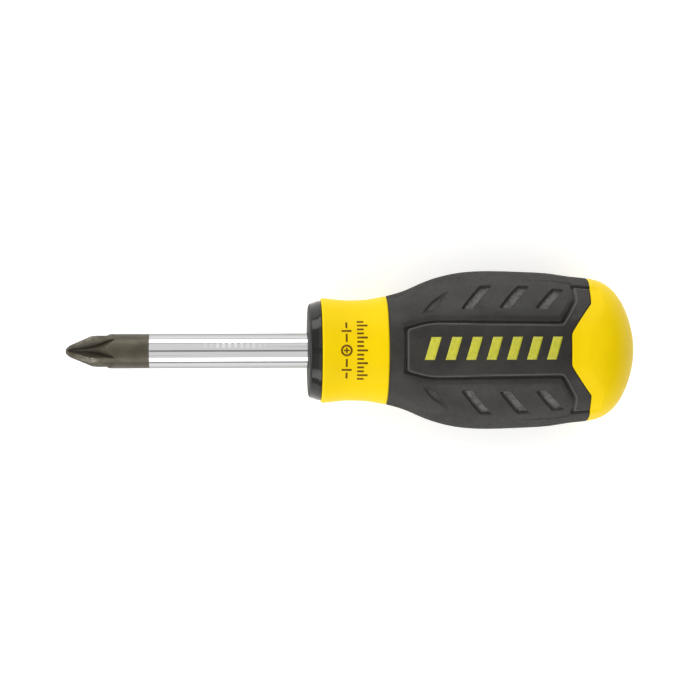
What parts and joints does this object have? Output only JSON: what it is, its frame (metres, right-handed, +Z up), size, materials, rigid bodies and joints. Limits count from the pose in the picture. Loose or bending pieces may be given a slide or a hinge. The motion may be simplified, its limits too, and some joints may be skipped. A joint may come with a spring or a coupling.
{
  "type": "stubby screwdriver",
  "caption": "Short cross-point hand screwdriver with a round steel blade and a fat moulded handle of black rubber and yellow hard plastic.",
  "frame": {"origin": "middle of the small flat at the end of the point, on the tool's axis", "axes": "+X along the tool's axis from the point toward the butt, +Z up, out of the label panel that faces up when the tool lies level"},
  "size_m": [0.1047, 0.0292, 0.028],
  "materials": {
    "blade_steel": "bright chrome",
    "point_steel": "ground and chemically blackened, satin",
    "core_plastic": "glossy black",
    "shell_plastic": "satin to glossy yellow",
    "grip_rubber": "matte black with a fine moulded grain",
    "print_brown": "pad-printed dark brown ink",
    "print_lime": "pad-printed yellow-green ink"
  },
  "bodies": {
    "root": {"blade": "blade_steel", "handle_core": "core_plastic", "handle_shell": "shell_plastic", "soft_grip": "grip_rubber"}
  },
  "joints": []
}
